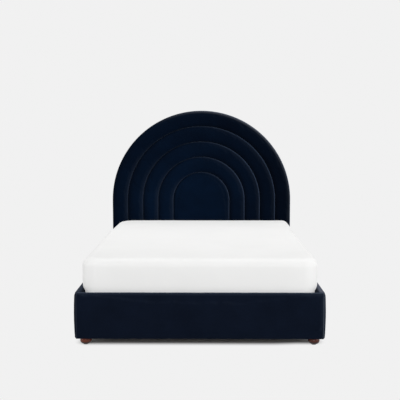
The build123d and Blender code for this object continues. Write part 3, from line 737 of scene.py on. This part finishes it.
# Plain velvet: navy, that direction, stops of painted shade, and stops of painted light.
plain_velvet = (
    plain_navy,
    painted_light_from,
    [(0.2, 0.8), (0.55, 1.0)],
    [(0.56, 0.0), (0.665, 0.3), (0.85, 0.5), (0.93, 0.4), (1.0, 0.05)],
)
pine = ((0.62, 0.43, 0.24), (0.42, 0.26, 0.13))
looks = {
    "velvet": velvet("navy_velvet", *plain_velvet),
    # Footboard velvet: edge is the colour of the painted highlight along the corner seams.
    "footboard velvet": velvet(
        "navy_velvet_footboard", *plain_velvet, edge=(0.052, 0.062, 0.078), line=corner_seam_highlight
    ),
    # Rail velvet: painted light from outwards and above on each rail; inner slopes towards the mattress
    # get painted shade.
    "rail velvet": velvet(
        "navy_velvet_rails",
        plain_navy,
        (0.3, -0.1, 0.6),
        [(0.52, 0.3), (0.64, 1.0)],
        [(0.68, 0.0), (0.8, 0.32), (0.84, 0.5)],
        rail=True,
    ),
    # Channel velvet: painted shade and light by the turn, a painted seam highlight (edge), painted shade
    # towards the rim (outer_shade).
    "channel velvet": velvet(
        "navy_velvet_channels",
        (0.0007, 0.0043, 0.0135),
        painted_light_from,
        [(0.12, 0.5), (0.36, 0.72), (0.55, 1.0)],
        [(0.6, 0.0), (0.76, 0.12), (0.92, 0.25)],
        edge=(0.039, 0.06, 0.108),
        outer_shade=0.4,
    ),
    "cotton": cotton(),
    "ticking": ticking(),
    "foam": foam(),
    "ply_x": plywood(0),
    "ply_y": plywood(1),
    "slat": wood("birch_slat", (0.68, 0.5, 0.3), (0.5, 0.34, 0.19), 0, rings=30),
    "timber_x": wood("pine_across", *pine, 0, rings=24),
    "timber_y": wood("pine_along", *pine, 1, rings=24),
    "timber_z": wood("pine_upright", *pine, 2, rings=24),
    "foot": stained_wood(),
    "zinc": zinc(),
    "black": powder_coat(),
    "plastic": moulded_plastic(),
    "dust": dust_cloth(),
}


def dress(piece, look):
    """Puts one material on a piece."""
    piece.data.materials.clear()
    piece.data.materials.append(looks[look])


def finish_piece(piece, look, slot, body, *replaced):
    """Dresses a modelled piece, rides it on its body and hides what it replaces."""
    dress(piece, look)
    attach(piece, body)
    if replaced:
        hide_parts(*replaced)


# Headboard cover: one velvet skin over all the channels
def headboard_cover():
    """Scalloped front with its seams, running round the outer edge to the border."""
    radii, depths = [], []
    for low, high in channel_bands:
        at = low + (high - low) * eased(band_steps)
        if low == 0:
            flat = high * flat_share
            outer = high * (1 - (1 - eased(2 * band_steps)[band_steps:]) * 2)
            at = np.concatenate([[0.0], np.linspace(0, flat, 12)[1:-1], outer[outer >= flat]])
        fall = channel_depth(at, low, high)
        skip = 0 if low == 0 else 1
        radii.extend(at[skip:])
        depths.extend(crown_y + fall[skip:])
    last = depths[-1]
    for share in (0.25, 0.5, 0.75, 1.0):
        radii.append(arch_radius)
        depths.append(last + (board_y - last) * share)
    piece = sweep_arch("headboard_velvet", radii, depths, channel_bottom, pucker)
    # merge() can't tell the outside of an open sheet, which is its front here
    if piece.data.polygons[len(piece.data.polygons) // 2].normal.y > 0:
        piece.data.flip_normals()

    def sewn(points):
        radius = np.hypot(points[:, 0], np.maximum(points[:, 2] - arch_z, 0))
        seam = np.min(np.abs(radius[:, None] - np.array(channel_radii)[None, :]), axis=1) < 0.8 * MM
        return seam | (points[:, 2] < channel_bottom + 1 * MM) | (points[:, 1] > crown_y + 40 * MM)

    simulated(piece, sewn, pressure=3.0, slack=0.008, cap=3.0 * MM)
    thicken(piece, velvet_thickness)
    finish_piece(piece, "channel velvet", "velvet", "frame", "headboard_cover")


def headboard_foam(name, low, high):
    """Foam core of one channel, closed, under the velvet."""
    first, last = low + foam_gap, high - foam_gap
    start = first if low > 0 else 0.0
    at = start + (last - start) * eased(14)
    front = crown_y + channel_depth(np.clip(at, first, last), low, high, foam_gap)
    radii = np.concatenate([at, [at[-1], at[0]]])
    depths = np.concatenate([front, [board_y, board_y]])
    piece = sweep_arch(
        f"channel_foam_{name}", radii, depths, channel_bottom + foam_gap, closed=True, steps=(12, 64)
    )
    finish_piece(piece, "foam", "foam", "frame", f"headboard_foam_{name}")


def headboard_border():
    """Velvet strip round the headboard's edge, folded in behind."""
    puff = 1.6 * MM
    fold = 14 * MM
    outline = [(frame_radius + 1 * MM, board_y + 1 * MM)]
    for share in np.linspace(0, 1, 13):
        swelling = puff * math.sin(math.pi * share) ** 0.6
        outline.append((arch_radius - puff + swelling, board_y + (back_y - board_y) * share))
    outline += [
        (arch_radius - 3 * MM, back_y + 1.2 * MM),
        (arch_radius - 8 * MM, back_y + 1.6 * MM),
        (arch_radius - fold, back_y + 1.4 * MM),
        (arch_radius - fold - 4 * MM, back_y + 0.6 * MM),
        (arch_radius - fold - 4 * MM, back_y + 0.1 * MM),
        (frame_radius + 1 * MM, back_y - 0.5 * MM),
    ]
    radii, depths = zip(*outline)
    piece = sweep_arch("headboard_edge_strip", radii, depths, border_bottom, closed=True, steps=(60, 150))
    finish_piece(piece, "velvet", "velvet", "frame", "headboard_border")


def headboard_lower_pad():
    """Thinly padded velvet below the channels, behind the mattress and rails."""
    low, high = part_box("headboard_lower_pad")

    def shape(points, normal):
        return normal * ripple(points[:, 0], points[:, 2], lower_pad_waves, 5)[:, None]

    piece = soft_box("headboard_lower_velvet", low, high, 4.5 * MM, (60, 1, 14), shape)
    finish_piece(piece, "velvet", "velvet", "frame", "headboard_lower_pad")


# Back of the headboard
def dust_cover():
    """Non-woven cloth pulled over the headboard's back."""
    edge = arch_radius - 11 * MM
    radii = np.concatenate([np.linspace(0, edge - 30 * MM, 26), np.linspace(edge - 25 * MM, edge, 6)])
    depths = np.full(len(radii), back_y + 0.3 * MM)

    def slack(x, z, radius, run):
        inside = np.clip((edge - radius) / (50 * MM), 0, 1)
        pull = np.exp(-np.clip(edge - radius, 0, 1) / (30 * MM))
        waves = ripple(x, z, dust_cover_waves, 7) * inside
        return -np.abs(waves) * 0.5 + pull * ripple(run, 0 * run, dust_cover_pulls, 9)

    piece = sweep_arch("dust_cover_cloth", radii, depths, border_bottom + 6 * MM, slack, steps=(40, 130))
    thicken(piece, dust_cover_thickness)
    finish_piece(piece, "dust", "dust_cover", "frame", "headboard_back_cover")
    return piece


def staples():
    """Flat wire staples along the dust cover's edge."""
    pitch = 38 * MM
    half, wire = 5.5 * MM, 0.55 * MM
    radius = arch_radius - 17 * MM
    leg = arch_z - border_bottom - 20 * MM
    places = []
    for n in range(int(leg / pitch)):
        for side in (-1, 1):
            places.append((side * radius, arch_z - n * pitch, math.pi / 2))
    for n in range(1, int(math.pi * radius / pitch)):
        turn = n * pitch / radius
        places.append((radius * math.cos(turn), arch_z + radius * math.sin(turn), turn + math.pi / 2))
    for n in range(int(2 * radius / pitch)):
        places.append((-radius + (n + 0.5) * pitch, border_bottom + 14 * MM, 0.0))
    points, faces = [], []
    low_y, high_y = back_y + 0.2 * MM, back_y + 2.0 * MM
    for x, z, turn in places:
        start = len(points)
        along = (math.cos(turn), math.sin(turn))
        for end in (-half, half):
            for side in (-wire, wire):
                for y in (low_y, high_y):
                    points.append(
                        (x + along[0] * end - along[1] * side, y, z + along[1] * end + along[0] * side)
                    )
        faces.extend(shifted(box_faces, start))
    piece = add_object("dust_cover_staples", points, faces)
    finish_piece(piece, "zinc", "zinc_steel", "frame")
    return piece


# Padded rails
def bulge(points, height_low, height_high):
    """Share of a face's crown at each height, none at top and bottom."""
    share = (points[:, 2] - height_low) / (height_high - height_low) * 2 - 1
    return np.clip(1 - share**2, 0, 1)


def inner_roll(points):
    """How far the top of a side rail falls away towards the mattress."""
    share = np.clip(1 - (np.abs(points[:, 0]) - rail_low.x) / roll_width, 0, 1)
    height = np.clip((points[:, 2] - rail_high.z) / (60 * MM) + 1, 0, 1)
    return roll_depth * height * (1 - np.sqrt(1 - share**2))


def footboard():
    """Velvet over the footboard: a seam beside each front corner, a front lower edge that hangs."""
    low = [foot_low.x + face_inset, foot_low.y + face_inset, foot_low.z - hem_drop]
    high = [foot_high.x - face_inset, foot_high.y - 0.2 * MM, foot_high.z]
    seams = [-seam_x, seam_x]

    def shape(points, normal):
        crown = bulge(points, low[2], high[2]) * face_crown
        move = np.zeros(points.shape)
        move[:, 0] = normal[:, 0] * crown
        move[:, 1] = np.minimum(normal[:, 1], 0) * crown
        front = np.clip(-normal[:, 1], 0, 1) ** 2
        wave = ripple(points[:, 0], points[:, 2], footboard_waves, 11)
        top = np.clip(normal[:, 2], 0, 1)
        wave = wave + top * ripple(points[:, 0], 0 * points[:, 0], footboard_top_waves, 12)
        turn = np.clip((np.abs(points[:, 0]) - (foot_high.x - turn_width)) / turn_width, 0, 1)
        move[:, 1] += front * turn_depth * turn**2
        lip = np.clip(1 - (points[:, 1] - low[1]) / lip_width, 0, 1)
        lip = lip * np.clip(1 - (points[:, 2] - low[2]) / lip_height, 0, 1)
        move[:, 2] -= lip_drop * lip
        for seam in seams:
            apart = np.abs(points[:, 0] - seam)
            wave = wave + front * seam_height * np.exp(-((apart / seam_width) ** 2))
        return move + normal * wave[:, None]

    steps = (-8, -6, -4, -2.6, -1.3, 0, 1.3, 2.6, 4, 6, 8)
    beside = [seam + step * MM for seam in seams for step in steps]
    piece = soft_box("footboard_velvet", low, high, edge_radius, (150, 2, 30), shape, (beside, (), ()))

    def stapled(points):
        apart = np.abs(np.abs(points[:, 0]) - seam_x)
        return (apart < 2 * MM) | (points[:, 1] > foot_low.y + 24 * MM) | (points[:, 2] < low[2] + 10 * MM)

    simulated(piece, stapled, pressure=2.0, slack=0.006, cap=1.6 * MM)
    finish_piece(piece, "footboard velvet", "velvet", "frame", "footboard_cover")


def side_rail(hand, side):
    """Velvet over one side rail, butted against the footboard and the headboard."""
    near, far = rail_low.x + 0.2 * MM, rail_high.x - rail_inset
    low = [min(side * near, side * far), rail_low.y + 0.4 * MM, rail_low.z - hem_drop]
    high = [max(side * near, side * far), rail_high.y - 0.4 * MM, rail_high.z]

    def shape(points, normal):
        crown = bulge(points, low[2], high[2]) * rail_crown
        move = np.zeros(points.shape)
        move[:, 0] = side * np.maximum(side * normal[:, 0], 0) * crown
        wave = ripple(points[:, 1], points[:, 2], side_rail_waves, 14 + side)
        moved = move + normal * wave[:, None]
        moved[:, 2] -= inner_roll(points + moved)
        return moved

    across = [side * (rail_low.x + step * MM) for step in range(10, 24, 2)]
    piece = soft_box(
        f"side_rail_{hand}_velvet", low, high, rail_edge_radius, (2, 170, 26), shape, (across, (), ())
    )
    finish_piece(piece, "rail velvet", "velvet", "frame", f"side_rail_{hand}_cover")


def hollow(piece, low, high):
    """Cuts a box out of a piece."""
    corners = [(x, y, z) for x in (low[0], high[0]) for y in (low[1], high[1]) for z in (low[2], high[2])]
    cutter = merge(add_object("cutter", corners, box_faces))
    cut = piece.modifiers.new("hollow", "BOOLEAN")
    cut.operation = "DIFFERENCE"
    cut.object = cutter
    result = bpy.data.meshes.new_from_object(piece.evaluated_get(bpy.context.evaluated_depsgraph_get()))
    piece.modifiers.remove(cut)
    piece.data = result
    bpy.data.objects.remove(cutter)


def rail_foam(name, node, panel, less, more, radius, open_ends):
    """Foam over the top and both faces of a rail's panel, under the velvet.

    less and more are how far it stays inside its CAD box at the low and the high end of each axis.
    """
    low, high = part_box(node)
    low = [value + step for value, step in zip(low, less)]
    high = [value - step for value, step in zip(high, more)]
    on_side = open_ends > 0

    def shape(points, normal):
        wave = ripple(points[:, 0] + points[:, 1], points[:, 2], rail_foam_waves, 17)
        move = normal * wave[:, None]
        if on_side:
            move[:, 2] -= inner_roll(points + move)
        return move

    lines = [side * (rail_low.x + step * MM) for step in range(10, 24, 3) for side in (-1, 1)]
    across = [line for line in lines if on_side and low[0] + radius < line < high[0] - radius]
    steps = (2, 60, 12) if on_side else (60, 2, 12)
    piece = soft_box(name, low, high, radius, steps, shape, (across, (), ()))
    panel_low, panel_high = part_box(panel)
    hollow(
        piece,
        (panel_low.x - 0.3 * MM, panel_low.y - 0.3 * MM - open_ends, panel_low.z - 10 * MM),
        (panel_high.x + 0.3 * MM, panel_high.y + 0.3 * MM + open_ends, panel_high.z + 0.3 * MM),
    )
    finish_piece(piece, "foam", "foam", "frame", node)


# Mattress and fitted sheet
sheet_low, sheet_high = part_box("fitted_sheet")
mattress_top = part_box("mattress")[1].z
swell = 14 * MM
top_roll = 58 * MM
bottom_roll = 20 * MM
side_crown = 1 * MM
tuck_height = 40 * MM
tuck_depth = 17 * MM
rail_top = foot_high.z
half_width = sheet_high.x - swell - 3 * MM
foot_edge = sheet_low.y + swell
head_share = 0.3
head_edge = sheet_high.y - swell * head_share
sheet_middle = (foot_edge + head_edge) / 2
half_length = (head_edge - foot_edge) / 2
corner_radii = [85 * MM, 40 * MM, 140 * MM, 85 * MM]
askew = 17 * MM
back_rise = 3 * MM
least_corner = 22 * MM
foot_tuck_share = 0.12
inner_share = 0.995
hem_width = 150 * MM
hem_gathers = 190
quilt_depth = 2.4 * MM
quilt_pitch = 240 * MM


def slab_levels(inset, hem=None):
    """Level sections of the mattress form: stand-out and height, from underneath to the crown."""
    base = sheet_low.z + inset
    top = sheet_high.z - side_crown - inset
    roll = top_roll - inset
    levels = []
    if hem:
        levels += [(-out, base) for out in np.linspace(hem, bottom_roll * 1.2, 14)]
    for angle in np.linspace(0, 90, 7):
        turn = math.radians(angle)
        out = swell - tuck_depth - bottom_roll * (1 - math.sin(turn))
        levels.append((out, base + bottom_roll * (1 - math.cos(turn))))
    for share in np.linspace(0, 1, 9):
        levels.append((swell - tuck_depth * (1 - share) ** 2, rail_top - 1 * MM + tuck_height * share))
    flat_start, flat_end = levels[-1][1], top - roll
    levels += [(swell, flat_start + (flat_end - flat_start) * share) for share in (0.2, 0.4, 0.6, 0.8)]
    for angle in np.linspace(0, 90, 14):
        turn = math.radians(angle)
        levels.append((swell - roll * (1 - math.cos(turn)), top - roll + roll * math.sin(turn)))
    start = levels[-1][0]
    for share in np.linspace(0, 1, 34)[1:]:
        out = start - (half_width + start) * share * inner_share
        levels.append((out, top + side_crown * math.sin(share * math.pi / 2)))
    return levels


def slab_points(inset, levels):
    """Rings of points for the level sections."""
    rings = []
    for out, z in levels:
        tucked = swell - tuck_depth <= out <= swell and z < rail_top + tuck_height
        foot_out = swell + (out - swell) * foot_tuck_share if tucked else out
        head_out = out * head_share if out > 0 else out
        middle = sheet_middle + (head_out - foot_out) / 2
        length = half_length + (foot_out + head_out) / 2 - inset
        radii = [max(corner + min(out, swell) - inset, least_corner) for corner in corner_radii]
        flat = ring(half_width + out - inset, length, radii, middle)
        above = np.clip((z - rail_top) / (100 * MM), 0, 1)
        towards_head = np.clip((flat[:, 1] - sheet_middle) / half_length, 0, 1)
        flat[:, 0] += askew * above * np.clip(2 * towards_head - 0.6, 0, 1)
        rings.append(np.column_stack([flat, z + back_rise * above * towards_head]))
    return np.array(rings)


def mattress():
    """Quilted mattress under the sheet, closed underneath."""
    inset = 2.6 * MM
    levels = slab_levels(inset)
    rings = slab_points(inset, levels)
    top = mattress_top - side_crown
    x, y, z = rings[..., 0], rings[..., 1], rings[..., 2]
    stitches = np.sin(np.pi * (x + y) / quilt_pitch) * np.sin(np.pi * (x - y) / quilt_pitch)
    quilt = quilt_depth * np.abs(stitches) ** 0.5
    on_top = np.clip((z - top + 4 * MM) / (6 * MM), 0, 1)
    rings[..., 2] = z - on_top * (quilt_depth - quilt)
    rows, columns = rings.shape[:2]
    faces = grid_faces(rows, columns, closed=True) + end_caps(rows, columns)
    piece = merge(add_object("mattress_body", rings.reshape(-1, 3), faces))
    finish_piece(piece, "ticking", "ticking", "bedding", "mattress")
    return piece


def fitted_sheet():
    """Cotton sheet pulled over the mattress, its elastic hem gathered underneath."""
    inset = 0.4 * MM
    levels = slab_levels(inset, hem_width)
    rings = slab_points(inset, levels)
    x, y, z = rings[..., 0], rings[..., 1], rings[..., 2]
    around = np.linspace(0, 1, rings.shape[1], endpoint=False)[None, :]
    out = np.array([level[0] for level in levels])[:, None]
    under = np.clip((-out - bottom_roll) / (hem_width - bottom_roll), 0, 1) * (z < sheet_low.z + 5 * MM)
    rings[..., 2] += under * 0.8 * MM * (1 + np.sin(2 * np.pi * around * hem_gathers))
    on_top = np.clip((z - sheet_high.z + 30 * MM) / (20 * MM), 0, 1)
    rings[..., 2] += on_top * (ripple(x, y, sheet_top_waves, 31) - 1.0 * MM)
    beside = np.clip((z - rail_top) / (30 * MM), 0, 1) * (1 - on_top)
    wave = ripple(x, z * 0.4, sheet_side_waves, 32) + ripple(y, z * 0.4, sheet_side_waves, 33)
    push_y = np.where(np.abs(y - sheet_middle) > half_length - 60 * MM, np.sign(y - sheet_middle), 0)
    push_x = np.where(np.abs(x) > half_width - 60 * MM, np.sign(x), 0)
    rings[..., 0] += beside * push_x * (wave - 0.6 * MM)
    rings[..., 1] += beside * push_y * (wave - 0.6 * MM)
    rows, columns = rings.shape[:2]
    faces = grid_faces(rows, columns, closed=True) + end_caps(rows, columns)[1:]
    piece = merge(add_object("fitted_sheet_cotton", rings.reshape(-1, 3), faces))
    thicken(piece, cotton_thickness)
    finish_piece(piece, "cotton", "sheet", "bedding", "fitted_sheet")
    return piece


# Carried-over pieces keep their shape and get a finish
def dress_frame():
    """Materials of the pieces that are shown as packed."""
    finishes = {
        "ply_y": ["headboard_front_board", "headboard_arch_rim", "headboard_uprights",
                  "headboard_crossbars", "headboard_stile", "footboard_panel"],
        "ply_x": ["side_rail_left_panel", "side_rail_right_panel"],
        "timber_x": ["head_rail"],
        "timber_y": ["slat_ledger_left", "slat_ledger_right", "centre_beam"],
        "timber_z": ["corner_blocks"],
        "slat": [name for name in nodes if name.startswith("slat_") and "ledger" not in name],
        "foot": [name for name in nodes if name.startswith("bun_foot")],
        "zinc": ["bracket_bolts", "headboard_bolts", "foot_hanger_bolts", "foot_tee_nuts",
                 "wood_screws", "beam_screws"],
        "black": ["corner_brackets", "beam_hangers", "centre_legs"],
        "plastic": ["centre_leg_inserts", "levelling_glide_foot_end", "levelling_glide_head_end",
                    "foot_floor_pads"],
    }
    for look, names in finishes.items():
        for name in names:
            dress(nodes[name], look)


headboard_cover()
for channel, (low, high) in zip(("centre", "inner", "third", "second", "outer"), channel_bands):
    headboard_foam(channel, low, high)
headboard_border()
headboard_lower_pad()
back_cloth = dust_cover()
back_staples = staples()
footboard()
side_rail("left", -1)
side_rail("right", 1)
rail_foam(
    "footboard_padding",
    "footboard_foam",
    "footboard_panel",
    (11.7 * MM, 4.7 * MM, 0.5 * MM),
    (11.7 * MM, 0, 1.5 * MM),
    9.5 * MM,
    0,
)
for hand, outer in (("left", 1.5 * MM), ("right", 0)):
    rail_foam(
        f"side_rail_{hand}_padding",
        f"side_rail_{hand}_foam",
        f"side_rail_{hand}_panel",
        (outer, 1.8 * MM, 0.5 * MM),
        (1.5 * MM - outer, 1.8 * MM, 1.5 * MM),
        7.2 * MM,
        10 * MM,
    )
body = mattress()
sheet = fitted_sheet()
dress_frame()


# Floor, light and camera
background = (0.879, 0.879, 0.879)


def mixed_output(tree, kind, factor, first, second):
    """Mix of two shaders, led into a new output."""
    mix = add_node(tree, "ShaderNodeMixShader", {0: factor, 1: first.outputs[0], 2: second.outputs[0]})
    add_node(tree, kind, {"Surface": mix.outputs[0]})


def floor():
    """Pale floor that keeps the bed's shadow and fades into the background."""
    size = 14.0
    corners = [(-size, -size, 0), (size, -size, 0), (size, size, 0), (-size, size, 0)]
    plane = add_object("studio_floor", corners, [(0, 1, 2, 3)])
    made = bpy.data.materials.new("studio_floor")
    made.use_nodes = True
    tree = made.node_tree
    tree.nodes.clear()
    # The diffuse floor is mid grey, which deepens the bed's shadow under it; elsewhere the floor glows in
    # the background's colour.
    white = add_node(tree, "ShaderNodeBsdfDiffuse", {"Color": (0.5, 0.5, 0.5, 1)})
    glow = add_node(tree, "ShaderNodeEmission", {"Color": (*background, 1), "Strength": 1.0})
    position = add_node(tree, "ShaderNodeTexCoord").outputs["Object"]
    shaded = (cad_box[1][0] - 80 * MM, cad_box[1][1] - 110 * MM, 0)
    outside = vector_math(tree, "SUBTRACT", vector_math(tree, "ABSOLUTE", position), shaded)
    # Painted light: towards the right the glow reaches up to 16 mm further under the bed and shortens the
    # shadow there.
    right = mapped(tree, axes(tree, position)["X"], (0.48, 0.62), (0.0, 0.016))
    lit = add_node(tree, "ShaderNodeCombineXYZ", {"Y": right}).outputs[0]
    outside = vector_math(tree, "MAXIMUM", vector_math(tree, "ADD", outside, lit), (0, 0, 0))
    fade = mapped(tree, vector_math(tree, "LENGTH", outside), (0.0, 0.1), interpolation="SMOOTHSTEP")
    ray = add_node(tree, "ShaderNodeLightPath").outputs
    seen = value_math(tree, "MAXIMUM", ray["Is Camera Ray"], ray["Is Glossy Ray"])
    seen = value_math(tree, "MAXIMUM", seen, ray["Is Transmission Ray"])
    mixed_output(tree, "ShaderNodeOutputMaterial", product(tree, fade, seen), white, glow)
    plane.data.materials.append(made)


def world():
    """Even studio light, with the background's colour where it is seen."""
    made = bpy.data.worlds.new("studio")
    made.use_nodes = True
    bpy.context.scene.world = made
    tree = made.node_tree
    tree.nodes.clear()
    ambient = add_node(tree, "ShaderNodeBackground", {"Color": (1, 1, 1, 1), "Strength": 0.6})
    seen = add_node(tree, "ShaderNodeBackground", {"Color": (*background, 1), "Strength": 1.0})
    ray = add_node(tree, "ShaderNodeLightPath").outputs
    mixed_output(tree, "ShaderNodeOutputWorld", ray["Is Camera Ray"], ambient, seen)


def lamp(name, location, target, size, power):
    """Soft lamp aimed at a point."""
    data = bpy.data.lights.new(name, "AREA")
    data.energy = power
    data.shape = "RECTANGLE"
    data.size, data.size_y = size
    made = bpy.data.objects.new(name, data)
    bpy.context.scene.collection.objects.link(made)
    made.location = location
    aim = np.array(target) - np.array(location)
    flat = math.hypot(aim[0], aim[1])
    made.rotation_euler = (math.atan2(flat, -aim[2]), 0, math.atan2(aim[1], aim[0]) - math.pi / 2)


def camera():
    """View along the bed from just above it, fitted to the photographed edges."""
    location = (0.0342, -5.767, 1.396)
    pitch = 5.56
    turn = 0.0069
    focal_length = 67.91
    data = bpy.data.cameras.new("camera")
    data.sensor_width = 36
    data.lens = focal_length
    made = bpy.data.objects.new("camera", data)
    bpy.context.scene.collection.objects.link(made)
    made.location = location
    made.rotation_euler = (math.radians(90 - pitch), 0, turn)
    bpy.context.scene.camera = made


floor()
world()
lamp("left", (-4.2, -2.6, 1.4), (0, -0.6, 0.5), (2.0, 2.0), 42)
lamp("right", (4.2, -2.6, 1.4), (0, -0.6, 0.5), (2.0, 2.0), 62)
lamp("front", (-0.4, -13.0, 5.2), (0, 0, 0.6), (9.0, 9.0), 590)
lamp("overhead", (0, 0.8, 3.2), (0, 0.75, 0.5), (2.6, 0.8), 38)
lamp("glint", (3.34, -4.34, 3.7), (0, -1.0, 0.04), (0.6, 0.6), 14)
camera()
bpy.context.scene.view_settings.view_transform = "Standard"
